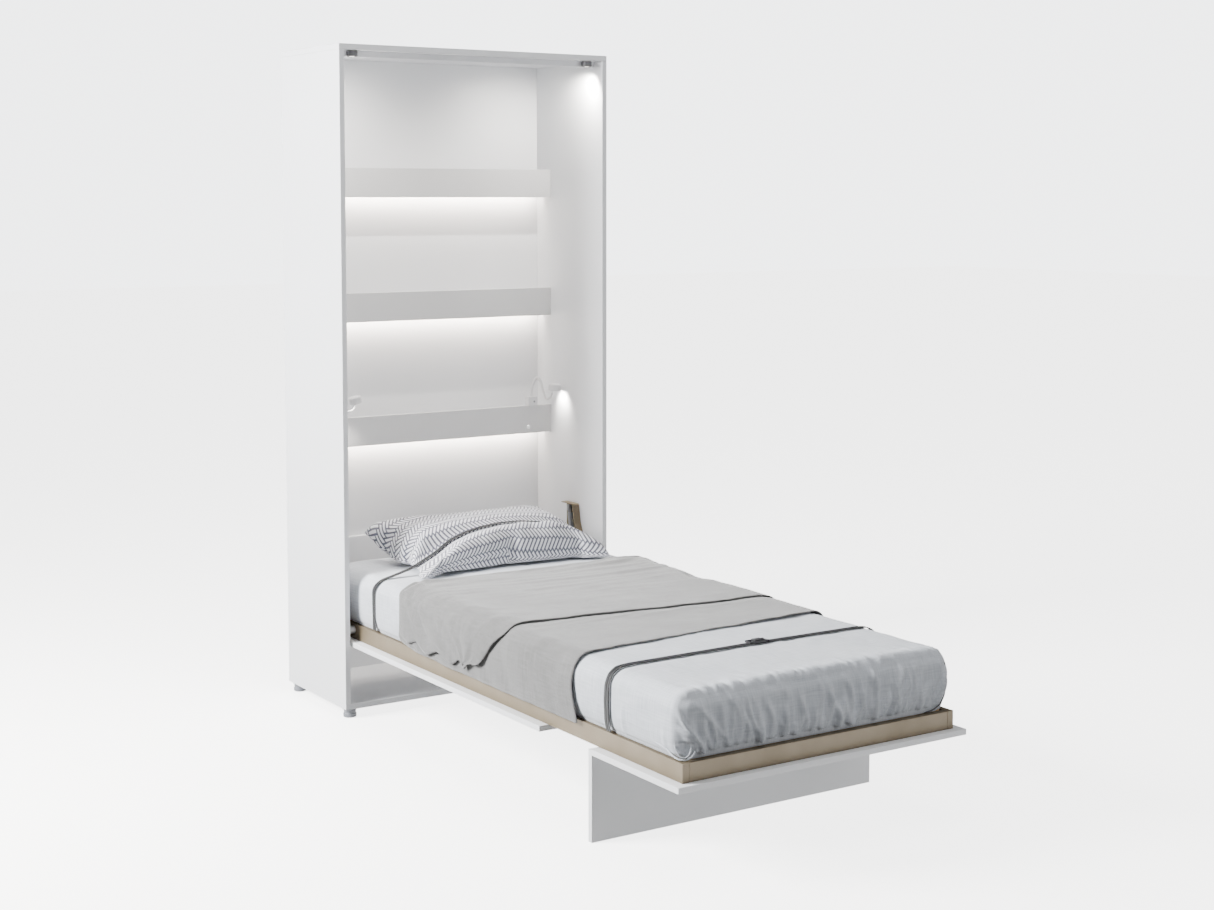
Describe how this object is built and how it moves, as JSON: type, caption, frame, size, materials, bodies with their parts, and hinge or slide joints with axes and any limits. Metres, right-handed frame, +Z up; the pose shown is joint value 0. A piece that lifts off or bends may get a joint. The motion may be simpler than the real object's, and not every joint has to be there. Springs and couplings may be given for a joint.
{
  "type": "murphy wall bed",
  "caption": "Single vertical wall bed: a tall shelved cabinet with a fold-down slatted bed on gas springs, a folding panel leg, reading lamps and bedding.",
  "frame": {"origin": "on the floor under the middle of the opened bed and its cabinet", "axes": "+Z up; the bed's foot points to -Y and the cabinet's back to +Y; +X is the right side seen from the foot"},
  "size_m": [1.01, 2.2812, 2.176],
  "materials": {
    "white_board": "white melamine-faced board, satin",
    "grey_fascia": "light grey foil-faced board, semi-gloss",
    "led_diffuser": "translucent light diffuser, warm white",
    "foot_plastic": "grey moulded plastic",
    "spot_metal": "dark grey satin",
    "lamp_plastic": "white, lightly glossy",
    "champagne_steel": "champagne powder coat",
    "zinc_steel": "zinc plated",
    "birch": "lacquered bent birch",
    "spring_paint": "grey enamel",
    "chrome": "polished chrome",
    "mattress_linen": "pale washed linen",
    "pillow_cotton": "white cotton with a grey woven pattern",
    "blanket_wool": "grey woven wool",
    "strap_black": "black webbing"
  },
  "bodies": {
    "cabinet": {"side_panel_left": "white_board", "side_panel_right": "white_board", "top_board": "white_board", "bottom_board": "white_board", "back_panel": "white_board", "top_rail": "white_board", "head_rail": "white_board", "shelf_fascia_1": "grey_fascia", "shelf_fascia_2": "grey_fascia", "shelf_fascia_3": "grey_fascia", "shelf_board_1": "white_board", "shelf_board_2": "white_board", "shelf_board_3": "white_board", "led_strip_1": "led_diffuser", "led_strip_2": "led_diffuser", "led_strip_3": "led_diffuser", "foot_front_left": "foot_plastic", "foot_front_right": "foot_plastic", "foot_back_left": "foot_plastic", "foot_back_right": "foot_plastic", "spotlight_left": "spot_metal", "spotlight_right": "spot_metal", "lamp_base_left": "lamp_plastic", "lamp_base_right": "lamp_plastic", "lamp_neck_left": "lamp_plastic", "lamp_neck_right": "lamp_plastic", "hinge_plate_left": "champagne_steel", "hinge_plate_right": "champagne_steel"},
    "bed": {"bed_side_rail_left": "champagne_steel", "bed_side_rail_right": "champagne_steel", "bed_foot_rail": "champagne_steel", "bed_head_rail": "champagne_steel", "bed_cross_rail": "champagne_steel", "slat_deck": "birch", "pivot_pin_left": "zinc_steel", "pivot_pin_right": "zinc_steel", "spring_arm_left": "zinc_steel", "spring_arm_right": "zinc_steel", "front_panel_head": "white_board", "front_panel_foot": "white_board", "leg_hinge_bracket_left": "zinc_steel", "leg_hinge_bracket_right": "zinc_steel", "mattress": "mattress_linen", "pillow": "pillow_cotton", "blanket": "blanket_wool", "head_strap": "strap_black", "foot_strap": "strap_black", "strap_buckle": "strap_black"},
    "leg": {"leg_panel": "white_board", "leg_hinge_leaf_left": "zinc_steel", "leg_hinge_leaf_right": "zinc_steel"},
    "spring_cylinder_left": {"gas_cylinder_left": "spring_paint"},
    "spring_cylinder_right": {"gas_cylinder_right": "spring_paint"},
    "spring_rod_left": {"gas_rod_left": "chrome"},
    "spring_rod_right": {"gas_rod_right": "chrome"},
    "reading_lamp_left": {"lamp_head_left": "lamp_plastic"},
    "reading_lamp_right": {"lamp_head_right": "lamp_plastic"},
    "lamp_button_left": {"lamp_switch_left": "foot_plastic"},
    "lamp_button_right": {"lamp_switch_right": "foot_plastic"},
    "touch_button": {"touch_switch": "chrome"}
  },
  "joints": [
    {"name": "bed_fold", "type": "hinge", "parent": "cabinet", "child": "bed", "pos_m": [0, 0.7321, 0.282], "axis": [-1, 0, 0], "range_deg": [0, 90]},
    {"name": "leg_fold", "type": "hinge", "parent": "bed", "child": "leg", "pos_m": [0, -0.7339, 0.2474], "axis": [1, 0, 0], "range_deg": [0, 90]},
    {"name": "spring_swing_left", "type": "hinge", "parent": "cabinet", "child": "spring_cylinder_left", "pos_m": [-0.4695, 0.8771, 0.585], "axis": [-1, 0, 0], "range_deg": [0, 7.23]},
    {"name": "spring_stroke_left", "type": "slide", "parent": "spring_cylinder_left", "child": "spring_rod_left", "axis": [0, -0.1925, -0.9813], "range_m": [0, 0.1198]},
    {"name": "spring_swing_right", "type": "hinge", "parent": "cabinet", "child": "spring_cylinder_right", "pos_m": [0.4695, 0.8771, 0.585], "axis": [-1, 0, 0], "range_deg": [0, 7.23]},
    {"name": "spring_stroke_right", "type": "slide", "parent": "spring_cylinder_right", "child": "spring_rod_right", "axis": [0, -0.1925, -0.9813], "range_m": [0, 0.1198]},
    {"name": "lamp_tilt_left", "type": "hinge", "parent": "cabinet", "child": "reading_lamp_left", "pos_m": [-0.324, 0.9741, 0.9873], "axis": [0.9703, 0, 0.2419], "range_deg": [-12, 12]},
    {"name": "lamp_tilt_right", "type": "hinge", "parent": "cabinet", "child": "reading_lamp_right", "pos_m": [0.45, 0.9601, 0.9893], "axis": [0.9976, 0, -0.0698], "range_deg": [-12, 12]},
    {"name": "lamp_press_left", "type": "slide", "parent": "cabinet", "child": "lamp_button_left", "axis": [0, 1, 0], "range_m": [0, 0.001], "stiffness_N_per_m": 400},
    {"name": "lamp_press_right", "type": "slide", "parent": "cabinet", "child": "lamp_button_right", "axis": [0, 1, 0], "range_m": [0, 0.001], "stiffness_N_per_m": 400},
    {"name": "touch_press", "type": "slide", "parent": "cabinet", "child": "touch_button", "axis": [0, 1, 0], "range_m": [0, 0.001], "stiffness_N_per_m": 500}
  ],
  "couplings": [
    {"joint": "spring_swing_left", "follows": "bed_fold", "ratio": 0.07981},
    {"joint": "spring_stroke_left", "follows": "bed_fold", "m_per_rad": 0.07614},
    {"joint": "spring_swing_right", "follows": "bed_fold", "ratio": 0.07981},
    {"joint": "spring_stroke_right", "follows": "bed_fold", "m_per_rad": 0.07614}
  ]
}
